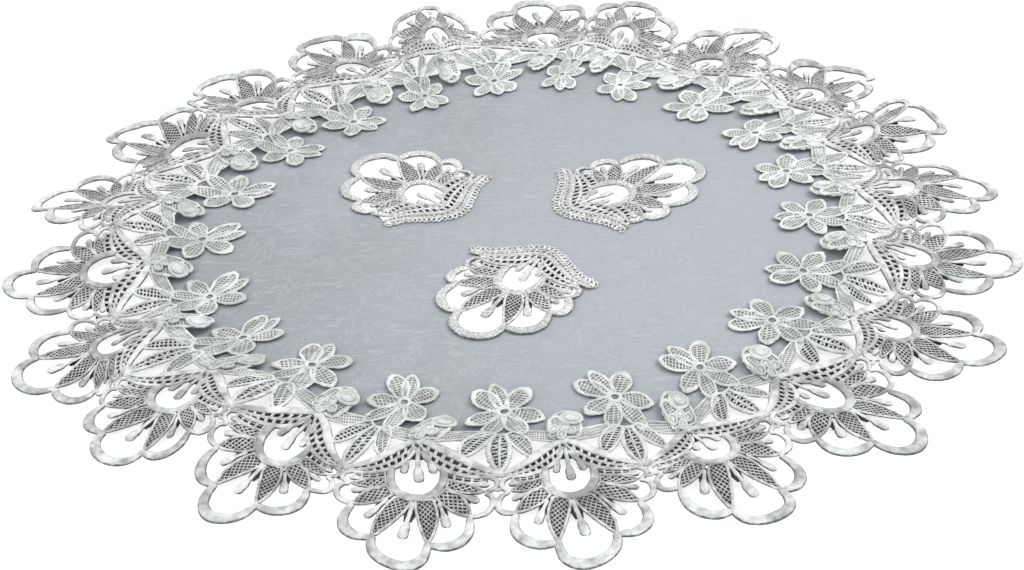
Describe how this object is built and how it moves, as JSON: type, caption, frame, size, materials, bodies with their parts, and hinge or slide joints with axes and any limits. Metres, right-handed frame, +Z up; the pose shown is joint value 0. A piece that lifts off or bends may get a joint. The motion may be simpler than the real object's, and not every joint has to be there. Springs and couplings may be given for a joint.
{
  "type": "lace doily",
  "caption": "Round table doily: a plain linen centre with let-in lace shells, edged with a guipure lace border of scallop shells and flowers.",
  "frame": {"origin": "underside of the linen, at the middle of the flower ring, on the surface it lies on", "axes": "+Z up from the table; -Y is the side nearest the viewer of the laid doily, +X to that viewer's right"},
  "size_m": [0.5031, 0.5002, 0.0154],
  "materials": {
    "linen": "matt crinkled cloth, grey with pale slubs",
    "lace": "matt white satin-stitch lace"
  },
  "bodies": {
    "root": {"linen_centre": "linen", "lace_border": "lace", "inset_left": "lace", "inset_right": "lace", "inset_front": "lace"}
  },
  "joints": []
}
